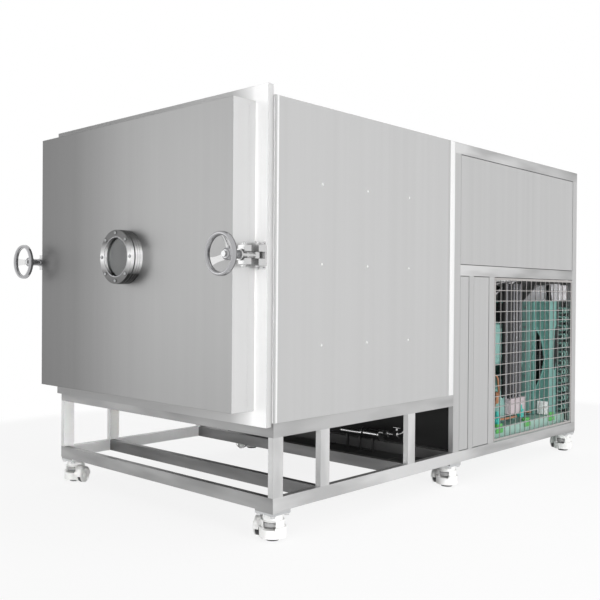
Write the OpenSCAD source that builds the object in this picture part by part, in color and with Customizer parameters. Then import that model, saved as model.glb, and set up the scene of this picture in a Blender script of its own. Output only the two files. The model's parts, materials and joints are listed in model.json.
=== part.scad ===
// Vacuum freeze dryer: an insulated box chamber with a full-size door, on a welded
// tube base with levelling casters, and a machinery cabinet behind the chamber.
// X is across, Y runs from the door to the rear, Z is up and 0 is the floor.
// Construction heights are measured from the floor, and construction depths from the
// back of the chamber flange. recentre() moves everything to the middle of the footprint.

/* [Base frame] */
// Width of the base and of the body over its skins
body_w = 1390; // [1300:5:1500]
// Length of the base from the flange to the rear
base_l = 2430; // [2350:5:2600]
// Height of the underside of the base rails above the floor
rail_z = 110; // [110:1:112]
// Height of every rail tube
rail_h = 50; // [40:1:60]
// Thickness of every rail and post tube across its narrow side
rail_w = 25; // [20:1:30]
// Depth of every post tube along the machine
post_d = 50; // [40:1:60]
// Wall of every tube
tube_wall = 2; // [1.5:0.5:3]
// Height of the top of the base frame above the floor
base_top_z = 422; // [400:1:440]

/* [Chamber] */
// Height of the top of the chamber and of the cabinet
top_z = 1568; // [1540:1:1600]
// Length of the chamber skin
chamber_l = 1098; // [1080:1:1100]
// Half the width of the chamber opening
opening_x = 570; // [540:1:575]
// Lowest height of the chamber opening
opening_z0 = 522; // [515:1:540]
// Highest height of the chamber opening
opening_z1 = 1492; // [1470:1:1496]
// Number of heated shelves
shelf_count = 7; // [3:1:7]
// Distance from one shelf to the next
shelf_pitch = 120; // [90:1:120]

/* [Flange and door] */
// Width of the flange
flange_w = 1372; // [1360:1:1380]
// Thickness of the flange
flange_t = 27; // [25:1:30]
// Lowest height of the flange
flange_z0 = 409; // [405:1:415]
// Highest height of the flange
flange_z1 = 1605; // [1595:1:1615]
// Width of the door
door_w = 1260; // [1250:1:1264]
// Lowest height of the door
door_z0 = 464; // [460:1:470]
// Highest height of the door
door_z1 = 1549; // [1540:1:1555]
// Thickness of the door's front pan
pan_t = 75; // [60:1:80]
// Thickness of the door's back plate
plate_t = 30; // [20:1:30]
// Thickness of the compressed gasket
gasket_t = 6; // [4:1:6]

/* [Clamps, hinges and sight glass] */
// Distance of each pivot line from the middle of the machine
pivot_x = 655; // [654:1:656]
// Distance of each pivot line in front of the flange's back
pivot_y = 50; // [49:1:51]
// Height of the clamps
clamp_z = 1008; // [1000:1:1015]
// Height of the middle of the sight glass
sight_z = 1014; // [1000:1:1060]
// Distance of the sight glass to the right of the door's middle
sight_x = 15; // [-60:1:60]
// Diameter of the handwheels
handwheel_d = 150; // [130:2:160]
// Diameter of the swing bolts
bolt_d = 20; // [18:1:20]
// Outer diameter of the sight glass
sight_d = 210; // [200:1:230]
// Visible diameter of the sight glass
sight_view_d = 150; // [130:1:152]

/* [Casters] */
// Diameter of the caster wheels
wheel_d = 66; // [60:1:68]
// Clearance under the wheels while the feet carry the machine
wheel_lift = 3; // [2:0.5:5]
// Side of the square caster plates
plate_side = 90; // [85:1:95]

/* [Hidden] */
$fn = 64;
half_w = body_w / 2;
weld = 0.2;            // gap that stands for each weld seam
fit = 0.05;            // radial clearance of every running fit
door_back = flange_t + gasket_t;
plate_front = door_back + plate_t;
door_front = plate_front + pan_t;
door_h = door_z1 - door_z0;
sheet = 2;             // outer sheet metal

vessel_back = 1060;

// Cabinet
front_post_y = 1155;
trim_y = chamber_l + weld;
rear_post_y = base_l - post_d;
mid_rail_z = 964;
mid_rail_top = mid_rail_z + rail_h;
narrow_post_y = [1283, 1465];
narrow_post_d = [40, 50];
grille_y0 = narrow_post_y[1] + narrow_post_d[1];
reveal = 3;            // gap round each panel
sill_z = rail_z + rail_h;
top_rail_z = top_z - rail_h;
mesh_pitch = 50;
mesh_wire = 3.5;
mesh_border = 12;

// Base posts between the lower and the upper ring
base_post_y = [0, 250, 806];

// Clamps, measured forward from the pivot pin
pin_r = 7;
bracket_h = 72;
slot_h = 24;
bracket_in = 15;       // reach of a bracket from its pin towards the door
bracket_out = 28;      // reach of a bracket from its pin away from the door
bracket_front = 15;    // reach of a bracket in front of its pin
web_gap = 16;          // from the pin to the floor of the slot
eye_r = 14;
eye_h = 22;
lug_front = 75;
lug_back = 43;
lug_h = 66;
lug_out = 21;
washer_gap = 4;
washer_t = 5;
washer_r = 20;
sleeve_r = 15;
sleeve_end = 120;
hub_r = 20;
hub_end = 146;
rim_plane = 168;
rim_r = 7;
rod_end = 153;
hinge_z = [720, 1300];
spoke_count = 3;

// Sight glass
sight_ring_t = 15;
sight_y = -(door_front + 35);
sight_ring_y = sight_y - 2;
sight_front_y = sight_ring_y - sight_ring_t;
sight_neck_r = sight_view_d / 2 + 9;
sight_bolt_circle_r = 93;
sight_bolt_count = 8;
glass_r = 82;
glass_pocket = 9;

// Casters: swivel axes and the directions of their side wheels
caster_names = ["front_right", "front_left", "middle_right", "middle_left",
                "rear_right", "rear_left"];
caster_x = half_w - 47;
caster_y = [47, front_post_y + post_d / 2, base_l - 47];
caster_turn = [205, 23, 191, 280, 183, 50];
caster_plate_t = 8;
pad_plate_t = 6;
plate_z = rail_z - pad_plate_t - caster_plate_t;
bolt_span = 35;
stud_r = 8;
foot_r = 26;
foot_h = 14;
foot_travel = 10;
dial_z = 50;
dial_h = 16;
dial_r = 35;
cup_r = 49;
cup_z0 = 12;
cup_z1 = 50;
barrel_r = 42.5;
barrel_z1 = 74;
caster_neck_r = 36;
race_r = 30;
race_h = 6;
wheel_t = 22;
wheel_side = 61.5;     // from the swivel axis to the middle of the wheel
wheel_trail = -26;
wheel_z = wheel_lift + wheel_d / 2;
axle_r = 5;
guard_r = wheel_d / 2 + 7;

// Condensing unit and vacuum pump, carried by two bearers across the cabinet
bearer_y = [1560, 2330];
skid_x0 = -100;
skid_x1 = 655;
skid_y0 = 1540;
skid_y1 = 2376;
skid_h = 56;
deck_z = sill_z + weld + skid_h;
coil_x0 = 0;
coil_x1 = 650;
coil_y0 = 2290;
coil_y1 = 2368;
coil_z1 = 845;
shroud_y0 = 2190;
shroud_ring_l = 18;
fan_x = (coil_x0 + coil_x1) / 2;
fan_z = 530;
fan_r = 290;
fan_gap = 12;
fan_y = shroud_y0 + 26;
fan_blades = 5;
shaft_r = 8;

// The origin is the middle of the footprint, on the floor
front_y = -(pivot_y + rim_plane + rim_r);
middle_y = (front_y + base_l) / 2;

// ---- helpers ----

module recentre() { translate([0, -middle_y, 0]) children(); }

module box(low, high) {
    translate(low) cube([high[0] - low[0], high[1] - low[1], high[2] - low[2]]);
}

// The same piece on both sides of the machine
module both_sides() {
    children();
    mirror([1, 0, 0]) children();
}

// A rectangular tube between two corners, open at both ends along one axis
module tube(low, high, axis) {
    t = tube_wall;
    over = [for (i = [0:2]) i == axis ? -1 : t];
    difference() {
        box(low, high);
        box([for (i = [0:2]) low[i] + over[i]], [for (i = [0:2]) high[i] - over[i]]);
    }
}

// The outline of one mitred rail, trimmed by an inset from its two long edges
module rail_outline(length, inset, over) {
    polygon([[inset - over, inset], [length - inset + over, inset],
             [length - rail_w + inset + over, rail_w - inset],
             [rail_w - inset - over, rail_w - inset]]);
}

// One mitred rail that starts at the origin and runs along +X
module mitred_rail(length) {
    t = tube_wall;
    difference() {
        linear_extrude(rail_h) translate([weld, 0]) rail_outline(length - 2 * weld, 0, 0);
        translate([0, 0, t]) linear_extrude(rail_h - 2 * t)
            translate([weld, 0]) rail_outline(length - 2 * weld, t, 2 * t);
    }
}

// A rectangle of four mitred rails between two depths
module rail_ring(y0, y1, z) {
    length = y1 - y0;
    translate([-half_w, y0, z]) mitred_rail(body_w);
    translate([half_w, y1, z]) rotate([0, 0, 180]) mitred_rail(body_w);
    translate([half_w, y0, z]) rotate([0, 0, 90]) mitred_rail(length);
    translate([-half_w, y1, z]) rotate([0, 0, -90]) mitred_rail(length);
}

// A cross rail that fits between the side rails
module cross_rail(y, z) {
    inner = half_w - rail_w - weld;
    tube([-inner, y, z], [inner, y + rail_w, z + rail_h], 0);
}

module side_post(y, depth, z0, z1) {
    both_sides() tube([half_w - rail_w, y, z0 + weld], [half_w, y + depth, z1 - weld], 2);
}

// A flat panel on both sides of the machine, set just inside the frame's face
module side_panel(y0, y1, z0, z1) {
    both_sides() box([half_w - 1 - sheet, y0 + reveal, z0 + reveal],
                     [half_w - 1, y1 - reveal, z1 - reveal]);
}

// Four bars welded round a window: outer corners, window corners and both depths
module window(low, high, in_low, in_high, y0, y1) {
    box([low[0], y0, low[1]], [in_low[0], y1, high[1]]);
    box([in_high[0], y0, low[1]], [high[0], y1, high[1]]);
    box([in_low[0] + weld, y0, low[1]], [in_high[0] - weld, y1, in_low[1]]);
    box([in_low[0] + weld, y0, in_high[1]], [in_high[0] - weld, y1, high[1]]);
}

module hex_head(across, height) {
    cylinder(h = height, d = across / cos(30), $fn = 6);
}

// ---- base frame ----

module base_frame() {
    color("silver") {
        rail_ring(0, base_l, rail_z);
        rail_ring(0, front_post_y - weld, base_top_z - rail_h);
        for (y = base_post_y) side_post(y, post_d, sill_z, base_top_z - rail_h);
        for (y = [base_post_y[1], base_post_y[2], front_post_y]) cross_rail(y, rail_z);
        for (y = [base_post_y[1], base_post_y[2]]) cross_rail(y, base_top_z - rail_h);
        for (y = bearer_y) cross_rail(y, rail_z);
        for (side = [-1, 1], y = caster_y)
            translate([side * caster_x, y, rail_z - weld - (pad_plate_t - weld) / 2])
                cube([plate_side, plate_side, pad_plate_t - weld], center = true);
    }
}

module caster_mount() {
    translate([0, 0, plate_z]) {
        difference() {
            translate([-plate_side / 2, -plate_side / 2, 0])
                cube([plate_side, plate_side, caster_plate_t - weld]);
            for (x = [-1, 1], y = [-1, 1])
                translate([x * bolt_span, y * bolt_span, -1]) cylinder(h = 20, r = 5.2);
        }
        translate([0, 0, -race_h]) cylinder(h = race_h, r = race_r);
        for (x = [-1, 1], y = [-1, 1]) translate([x * bolt_span, y * bolt_span, -8]) {
            hex_head(17, 8 - weld);
            cylinder(h = 8 + caster_plate_t - 2 * weld, r = 5);
        }
    }
}

module caster_mounts() {
    color("lightgray")
        for (side = [-1, 1], y = caster_y) translate([side * caster_x, y, 0]) caster_mount();
}

// ---- chamber ----

module chamber_flange() {
    color("gainsboro") window([-flange_w / 2, flange_z0], [flange_w / 2, flange_z1],
                              [-opening_x, opening_z0], [opening_x, opening_z1],
                              -flange_t, -weld);
}

// The inner vacuum vessel, five plates welded to the back of the flange
module chamber_vessel() {
    t = 8;
    back = vessel_back;
    color("gray") {
        both_sides()
            box([opening_x, 0, opening_z0 - t], [opening_x + t, back, opening_z1 + t]);
        for (z = [opening_z0 - t, opening_z1])
            box([-opening_x + weld, 0, z], [opening_x - weld, back, z + t]);
        box([-opening_x - t, back + weld, opening_z0 - t],
            [opening_x + t, back + t, opening_z1 + t]);
    }
}

// Outer sheets over the insulation: two sides, top, bottom and back
module chamber_skin() {
    color("silver") {
        both_sides()
            box([half_w - sheet, 0, base_top_z + weld], [half_w, chamber_l, top_z]);
        inner = half_w - sheet - weld;
        for (z = [base_top_z + weld, top_z - sheet])
            box([-inner, 0, z], [inner, chamber_l, z + sheet]);
        box([-inner, chamber_l - sheet, base_top_z + sheet + 2 * weld],
            [inner, chamber_l, top_z - sheet - weld]);
    }
}

module shelf_rack() {
    shelf_x = 500;
    shelf_y = [60, 960];
    first_z = opening_z0 + 43;
    color("lightsteelblue") {
        for (k = [0:shelf_count - 1])
            box([-shelf_x, shelf_y[0], first_z + k * shelf_pitch],
                [shelf_x, shelf_y[1], first_z + k * shelf_pitch + 18]);
        for (y = [shelf_y[0] + 40, shelf_y[1] - 80]) both_sides()
            tube([shelf_x + weld, y, opening_z0 + weld],
                 [shelf_x + 40, y + 40, opening_z1 - 60], 2);
    }
}

// One flat serpentine of refrigerant tube behind the shelves
module cold_trap_coil() {
    tube_r = 14;
    pitch = 90;
    rows = 10;
    reach = 460;
    z0 = opening_z0 + 70;
    y = 1015;
    color("lightslategray") both_sides()
        box([300, y + tube_r - 5, opening_z0 + weld],
            [340, vessel_back - weld, opening_z1 - weld]);
    color("lightslategray") translate([0, y, 0]) {
        for (k = [0:rows - 1]) translate([-reach, 0, z0 + k * pitch])
            rotate([0, 90, 0]) cylinder(h = 2 * reach, r = tube_r);
        for (k = [0:rows - 2])
            translate([k % 2 == 0 ? reach : -reach, 0, z0 + (k + 0.5) * pitch])
                rotate([90, 0, 0]) rotate([0, 0, k % 2 == 0 ? -90 : 90])
                    rotate_extrude(angle = 180) translate([pitch / 2, 0]) circle(r = tube_r);
    }
}

// ---- pivots of the clamps and hinges ----

// Places a child at each pivot: one clamp on the right, and on the left one clamp
// between two hinges
module at_pivots() {
    translate([pivot_x, -pivot_y, clamp_z]) children();
    for (z = [hinge_z[0], clamp_z, hinge_z[1]])
        translate([-pivot_x, -pivot_y, z]) mirror([1, 0, 0]) children();
}

// Two ears and a web, which leave a level slot open in front and at both sides
module pivot_bracket() {
    back = pivot_y - flange_t - weld;
    half_slot = slot_h / 2;
    box([-bracket_in, web_gap, weld - half_slot], [bracket_out, back, half_slot - weld]);
    for (s = [0, 1]) mirror([0, 0, s]) difference() {
        box([-bracket_in, -bracket_front, half_slot], [bracket_out, back, bracket_h / 2]);
        cylinder(h = bracket_h, r = pin_r + fit);
    }
}

module pivot_brackets() {
    color("gainsboro") at_pivots() pivot_bracket();
}

module pivot_pins() {
    color("white") at_pivots() {
        translate([0, 0, -bracket_h / 2 - 5]) cylinder(h = bracket_h + 5 + weld, r = pin_r);
        translate([0, 0, bracket_h / 2 + weld]) cylinder(h = 5, r = pin_r + 4);
    }
}

// ---- cabinet ----

module cabinet_frame() {
    color("silver") {
        rail_ring(front_post_y, base_l, top_rail_z);
        side_post(front_post_y, post_d, sill_z, top_rail_z);
        side_post(rear_post_y, post_d, sill_z, top_rail_z);
        for (i = [0, 1])
            side_post(narrow_post_y[i], narrow_post_d[i], sill_z, mid_rail_z);
        both_sides() tube([half_w - rail_w, front_post_y + post_d + weld, mid_rail_z],
                          [half_w, rear_post_y - weld, mid_rail_top], 1);
        cross_rail(base_l - rail_w, mid_rail_z);
        both_sides() tube([half_w - rail_w, trim_y, base_top_z + weld],
                          [half_w, front_post_y - weld, top_z], 2);
        tube([-half_w + rail_w + weld, trim_y, top_rail_z],
             [half_w - rail_w - weld, front_post_y - weld, top_z], 0);
    }
}

module side_panels() {
    y1 = front_post_y + post_d;
    color("silver") {
        side_panel(y1, rear_post_y, mid_rail_top, top_rail_z);
        side_panel(y1, narrow_post_y[0], sill_z, mid_rail_z);
        side_panel(narrow_post_y[0] + narrow_post_d[0], narrow_post_y[1],
                   sill_z, mid_rail_z);
    }
}

module top_panel() {
    inset = rail_w + reveal;
    color("silver")
        box([-half_w + inset, front_post_y + inset, top_z - 1 - sheet],
            [half_w - inset, base_l - inset, top_z - 1]);
}

// The bulkhead under the chamber, and the two rear covers of the cabinet
module end_panels() {
    inner = half_w - rail_w - reveal;
    back = base_l - 1;
    color("dimgray")
        box([-inner, front_post_y + post_d - 8, sill_z + reveal],
            [inner, front_post_y + post_d - 8 + sheet, base_top_z]);
    color("silver") for (z = [[sill_z, mid_rail_z], [mid_rail_top, top_rail_z]])
        box([-inner, back - sheet, z[0] + reveal], [inner, back, z[1] - reveal]);
}

// Square mesh in a flat border, on both sides of the cabinet
module mesh_grilles() {
    y0 = grille_y0 + reveal;
    y1 = rear_post_y - reveal;
    z0 = sill_z + reveal;
    z1 = mid_rail_z - reveal;
    across = y1 - y0 - 2 * mesh_border;
    up = z1 - z0 - 2 * mesh_border;
    columns = floor(across / mesh_pitch);
    rows = floor(up / mesh_pitch);
    hole_w = (across - (columns - 1) * mesh_wire) / columns;
    hole_h = (up - (rows - 1) * mesh_wire) / rows;
    color("gainsboro") both_sides()
        translate([half_w - 1 - mesh_wire, y0, z0]) rotate([90, 0, 90])
            linear_extrude(mesh_wire) difference() {
                square([y1 - y0, z1 - z0]);
                for (i = [0:columns - 1], k = [0:rows - 1])
                    translate([mesh_border + i * (hole_w + mesh_wire),
                               mesh_border + k * (hole_h + mesh_wire)])
                        square([hole_w, hole_h]);
            }
}

// ---- condensing unit and vacuum pump ----

// A folded tray, open below, as a deck on four sides
module condensing_base() {
    t = 6;
    z0 = sill_z + weld;
    z1 = deck_z - t - weld;
    color("mediumseagreen") {
        box([skid_x0, skid_y0, deck_z - t], [skid_x1, skid_y1, deck_z]);
        for (y = [skid_y0, skid_y1 - t]) box([skid_x0, y, z0], [skid_x1, y + t, z1]);
        for (x = [skid_x0, skid_x1 - t])
            box([x, skid_y0 + t + weld, z0], [x + t, skid_y1 - t - weld, z1]);
    }
}

// Semi-hermetic compressor: motor barrel, crankcase, cylinder banks and feet
module compressor() {
    r = 125;
    foot = 40;
    motor_l = 200;
    crank_l = 180;
    half = r - 9;
    lean = 35;
    seat = 90;
    shoulder = (seat - half * sin(lean)) / cos(lean);
    bank = [104, crank_l - 40, 95];
    saddle = [2 * half - 16, 40, foot + r - half - 2 * weld];
    color("cadetblue") translate([475, skid_y0 + 40, deck_z + foot + r]) {
        rotate([-90, 0, 0]) cylinder(h = motor_l - weld, r = r);
        translate([0, -14 - weld, 0]) rotate([-90, 0, 0]) cylinder(h = 14, r = r + 12);
        translate([0, motor_l + crank_l, 0]) rotate([90, 0, 0]) linear_extrude(crank_l)
            polygon([[-half, -half], [half, -half], [half, shoulder],
                     [0, seat / cos(lean)], [-half, shoulder]]);
        for (side = [-1, 1]) rotate([0, side * lean, 0])
            translate([-bank[0] / 2, motor_l + 20, seat + weld]) cube(bank);
        for (y = [motor_l + 10, motor_l + crank_l - 50])
            translate([-saddle[0] / 2, y, weld - r - foot]) cube(saddle);
        translate([-60, 40, weld - r - foot]) cube([120, 40, foot - 2 * weld]);
    }
}

// Finned block between two tube sheets
module condenser_coil() {
    sheet_t = 3;
    color("darkseagreen") {
        box([coil_x0 + sheet_t + 20, coil_y0, deck_z + 12],
            [coil_x1 - sheet_t - 20, coil_y1, coil_z1 - 8]);
        for (x = [coil_x0 + 20, coil_x1 - sheet_t - 20])
            box([x, coil_y0 - 8, deck_z + weld], [x + sheet_t, coil_y1 + 8, coil_z1]);
    }
}

module fan_shroud() {
    t = 3;
    back = coil_y0 - 10;
    color("seagreen") difference() {
        union() {
            box([coil_x0, shroud_y0, deck_z + weld], [coil_x1, back, coil_z1]);
            translate([fan_x, shroud_y0 + 1, fan_z]) rotate([90, 0, 0])
                cylinder(h = shroud_ring_l + 1, r = fan_r + fan_gap + t);
        }
        box([coil_x0 + t, shroud_y0 + t, deck_z + t],
            [coil_x1 - t, back + 1, coil_z1 - t]);
        translate([fan_x, shroud_y0 + 50, fan_z]) rotate([90, 0, 0])
            cylinder(h = 100, r = fan_r + fan_gap);
    }
}

module condenser_fan() {
    color("dimgray") translate([fan_x, fan_y, fan_z]) rotate([90, 0, 0]) difference() {
        union() {
            translate([0, 0, -20]) cylinder(h = 40, r = 45);
            for (k = [0:fan_blades - 1]) rotate([0, 0, k * 360 / fan_blades])
                translate([40, 0, 0]) rotate([24, 0, 0])
                    translate([0, -50, -1.5]) cube([fan_r - 50, 100, 3]);
        }
        translate([0, 0, -30]) cylinder(h = 60, r = shaft_r + fit);
    }
}

// Motor in front of the fan, on a bar across the shroud's mouth
module fan_motor() {
    bar_t = 8;
    motor_r = 70;
    back = shroud_y0 - shroud_ring_l - weld;
    reach = fan_r + fan_gap + 3;
    color("dimgray") translate([fan_x, 0, fan_z]) {
        translate([0, back, 0]) rotate([90, 0, 0]) cylinder(h = 110, r = motor_r);
        translate([0, fan_y + 16, 0]) rotate([90, 0, 0])
            cylinder(h = fan_y + 16 - back - weld, r = shaft_r);
        both_sides() box([motor_r + weld, back - bar_t, -15], [reach, back, 15]);
    }
}

// Rotary vane pump and its motor on a plate across the two bearers
module vacuum_pump() {
    x0 = -570;
    w = 280;
    y0 = bearer_y[0] - 10;
    plate_z = sill_z + weld;
    axis_z = plate_z + 190;
    motor_r = 95;
    color("steelblue") translate([x0, 0, 0]) {
        box([0, y0, plate_z], [w, bearer_y[1] + 30, plate_z + 10]);
        box([20, y0 + 60, plate_z + 10 + weld], [w - 20, y0 + 380, plate_z + 330]);
        translate([w / 2, y0 + 380 + weld, axis_z]) rotate([-90, 0, 0])
            cylinder(h = 280, r = motor_r);
        for (y = [y0 + 420, y0 + 580])
            box([60, y, plate_z + 10 + weld], [w - 60, y + 40, axis_z - motor_r - weld]);
    }
}

// ---- door ----

module along_door() { rotate([90, 0, 0]) children(); }

module at_sight() { translate([sight_x, 0, sight_z]) children(); }

// Repeats a child round the sight glass, at one depth
module at_sight_bolts(y) {
    for (k = [0:sight_bolt_count - 1]) rotate([0, k * 360 / sight_bolt_count, 0])
        translate([sight_bolt_circle_r, y, 0]) children();
}

// Folded front pan of the door, open at the back
module door_skin() {
    t = 3;
    w = door_w / 2;
    color("silver") difference() {
        box([-w, -door_front, door_z0], [w, -plate_front - weld, door_z1]);
        box([-w + t, -door_front + t, door_z0 + t],
            [w - t, -plate_front + 1, door_z1 - t]);
        at_sight() along_door() cylinder(h = 2 * door_front, r = sight_neck_r + fit);
    }
}

module door_plate() {
    w = door_w / 2;
    color("lightgray") difference() {
        box([-w, -plate_front, door_z0], [w, -door_back - weld, door_z1]);
        at_sight() along_door() cylinder(h = 2 * door_front, r = sight_neck_r + fit);
    }
}

module door_gasket() {
    edge = 3;
    bar = 40;
    w = door_w / 2 - edge;
    z = [door_z0 + edge, door_z1 - edge];
    color("white") window([-w, z[0]], [w, z[1]], [bar - w, z[0] + bar],
                          [w - bar, z[1] - bar], -door_back, -flange_t - weld);
}

// Two ears on a root block, which leave a level slot for the swing bolt, and the
// screws that hold their wear plates
module door_lug() {
    root = door_w / 2 - pivot_x + weld;
    floor_x = -bolt_d / 2 - 2;
    half_slot = slot_h / 2;
    screw_y = -(lug_front + lug_back) / 2;
    box([root, -lug_front, weld - half_slot], [floor_x, -lug_back, half_slot - weld]);
    for (s = [0, 1]) mirror([0, 0, s]) {
        difference() {
            box([root, -lug_front, half_slot], [lug_out, -lug_back, lug_h / 2]);
            translate([0, screw_y, lug_h / 2 - 15]) cylinder(h = 30, r = 5 + fit);
        }
        translate([0, screw_y, lug_h / 2 + weld]) hex_head(18, 8);
        translate([0, screw_y, lug_h / 2 - 14]) cylinder(h = 15, r = 5);
    }
}

module door_lugs() {
    color("lightgray") both_sides() translate([pivot_x, -pivot_y, clamp_z]) door_lug();
}

module hinge_leaf() {
    root = door_w / 2 - pivot_x + weld;
    difference() {
        union() {
            translate([0, 0, -eye_h / 2]) cylinder(h = eye_h, r = eye_r);
            box([root, -eye_r + 1, -eye_h / 2], [0, eye_r - 1, eye_h / 2]);
        }
        cylinder(h = 2 * eye_h, r = pin_r + fit, center = true);
    }
}

module hinge_leaves() {
    color("lightgray") for (z = hinge_z)
        translate([-pivot_x, -pivot_y, z]) mirror([1, 0, 0]) hinge_leaf();
}

// ---- sight glass ----

module sight_neck() {
    color("gainsboro") at_sight() difference() {
        union() {
            translate([0, -door_back - weld, 0]) along_door()
                cylinder(h = -sight_y - door_back - weld, r = sight_neck_r);
            translate([0, -door_front - weld, 0]) along_door()
                cylinder(h = -sight_y - door_front - weld, r = sight_d / 2);
        }
        along_door() cylinder(h = 400, r = sight_view_d / 2);
        translate([0, sight_y + glass_pocket, 0]) along_door()
            cylinder(h = 20, r = glass_r + 0.5);
        at_sight_bolts(sight_y + 20) along_door() cylinder(h = 40, r = 4 + fit);
    }
}

module sight_glass() {
    color("lightblue", 0.4) at_sight() translate([0, sight_y + glass_pocket - weld, 0])
        along_door() cylinder(h = 14.6, r = glass_r);
}

module sight_ring() {
    color("gainsboro") at_sight() difference() {
        translate([0, sight_ring_y, 0]) along_door()
            cylinder(h = sight_ring_t, r = sight_d / 2);
        along_door() cylinder(h = 400, r = sight_view_d / 2);
        translate([0, sight_ring_y + 1, 0]) along_door() cylinder(h = 5, r = glass_r + 0.5);
        at_sight_bolts(0) along_door() cylinder(h = 400, r = 4 + fit);
    }
}

module sight_bolts() {
    color("white") at_sight() at_sight_bolts(sight_front_y - weld)
        along_door() {
            cylinder(h = 5, r = 6.5);
            translate([0, 0, -30]) cylinder(h = 31, r = 4);
        }
}

// ---- clamps ----

// Turns a child so that its own +Z runs forward along the swing bolt
module along_bolt(side) {
    translate([side * pivot_x, -pivot_y, clamp_z]) rotate([90, 0, 0]) children();
}

module swing_bolt(side) {
    color("gainsboro") along_bolt(side) difference() {
        union() {
            rotate([90, 0, 0]) cylinder(h = eye_h, r = eye_r, center = true);
            translate([0, 0, eye_r - 4]) cylinder(h = rod_end - eye_r + 4, r = bolt_d / 2);
        }
        rotate([90, 0, 0]) cylinder(h = 2 * eye_h, r = pin_r + fit, center = true);
    }
}

module thrust_washer(side) {
    color("white") along_bolt(side) translate([0, 0, lug_front + washer_gap])
        difference() {
            cylinder(h = washer_t, r = washer_r);
            translate([0, 0, -1]) cylinder(h = washer_t + 2, r = bolt_d / 2 + fit);
        }
}

// Threaded sleeve, dished hub, three spokes and a round rim
module handwheel(side) {
    z0 = lug_front + washer_gap + washer_t + 0.3;
    rim_centre = handwheel_d / 2 - rim_r;
    spoke_root = [hub_r - 6, hub_end - 12];
    run = [rim_centre - spoke_root[0], rim_plane - spoke_root[1]];
    color("lightgray") along_bolt(side) difference() {
        union() {
            translate([0, 0, z0]) cylinder(h = sleeve_end - z0 + 1, r = sleeve_r);
            translate([0, 0, sleeve_end]) cylinder(h = hub_end - sleeve_end, r = hub_r);
            translate([0, 0, rim_plane]) rotate_extrude()
                translate([rim_centre, 0]) circle(r = rim_r);
            for (k = [0:spoke_count - 1]) rotate([0, 0, 90 + side * 40 + k * 360 / spoke_count])
                translate([spoke_root[0], 0, spoke_root[1]])
                    rotate([0, atan2(run[0], run[1]), 0]) cylinder(h = norm(run), r = 5.5);
        }
        translate([0, 0, z0 - 1]) cylinder(h = hub_end - z0 + 2, r = bolt_d / 2 + fit);
    }
}

// ---- casters ----

// Moves a child to caster k, with +X towards its side wheel
module at_caster(k) {
    side = k % 2 == 0 ? 1 : -1;
    translate([side * caster_x, caster_y[floor(k / 2)], 0])
        rotate([0, 0, caster_turn[k]]) children();
}

// Die-cast body with a window for the dial on two sides, a skirt over the foot, and a
// cheek and a short hood for the side wheel
module caster_housing(k) {
    top = plate_z - 0.3;
    color("whitesmoke") at_caster(k) {
        difference() {
            union() {
                translate([0, 0, cup_z0]) cylinder(h = cup_z1 - cup_z0, r = cup_r);
                translate([0, 0, cup_z1 - 1]) cylinder(h = barrel_z1 - cup_z1 + 1, r = barrel_r);
                translate([0, 0, barrel_z1 - 1]) cylinder(h = top - barrel_z1 + 1, r = caster_neck_r);
                translate([34, wheel_trail, wheel_z]) rotate([0, 90, 0])
                    cylinder(h = cup_r + 0.4 - 34, r = wheel_d / 2 - 3);
                wheel_hood();
            }
            translate([0, 0, -1]) cylinder(h = 41, r = cup_r - 4.5);
            translate([0, 0, dial_z - 2]) cylinder(h = dial_h + 4, r = dial_r + 2);
            translate([-24, -60, 43]) cube([48, 120, 28]);
            cylinder(h = 88, r = stud_r + fit);
            translate([0, 0, top - race_h]) cylinder(h = race_h + 1, r = race_r + fit);
        }
        translate([46, wheel_trail, wheel_z]) rotate([0, 90, 0])
            cylinder(h = wheel_side + wheel_t / 2 + 2 - 46, r = axle_r);
    }
}

module wheel_hood() {
    x0 = cup_r - 8;
    x1 = wheel_side;
    translate([0, wheel_trail, wheel_z]) intersection() {
        rotate([0, 90, 0]) difference() {
            translate([0, 0, x0]) cylinder(h = x1 - x0, r = guard_r);
            translate([0, 0, x0 + 3.5]) cylinder(h = x1, r = guard_r - 4);
        }
        translate([0, -guard_r, 6]) cube([2 * x1, 2 * guard_r, guard_r]);
    }
}

module caster_wheel(k) {
    color("white") at_caster(k) translate([wheel_side, wheel_trail, wheel_z])
        rotate([0, 90, 0]) difference() {
            cylinder(h = wheel_t, d = wheel_d, center = true);
            cylinder(h = wheel_t + 2, r = axle_r + fit, center = true);
        }
}

module caster_dial(k) {
    color("lightgray") at_caster(k) translate([0, 0, dial_z]) difference() {
        cylinder(h = dial_h, r = dial_r);
        translate([0, 0, -1]) cylinder(h = dial_h + 2, r = stud_r + fit);
    }
}

module caster_foot(k) {
    color("dimgray") at_caster(k) {
        cylinder(h = foot_h, r = foot_r);
        translate([0, 0, foot_h - 1]) cylinder(h = 63, r = stud_r);
    }
}

// ---- assembly ----

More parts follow.
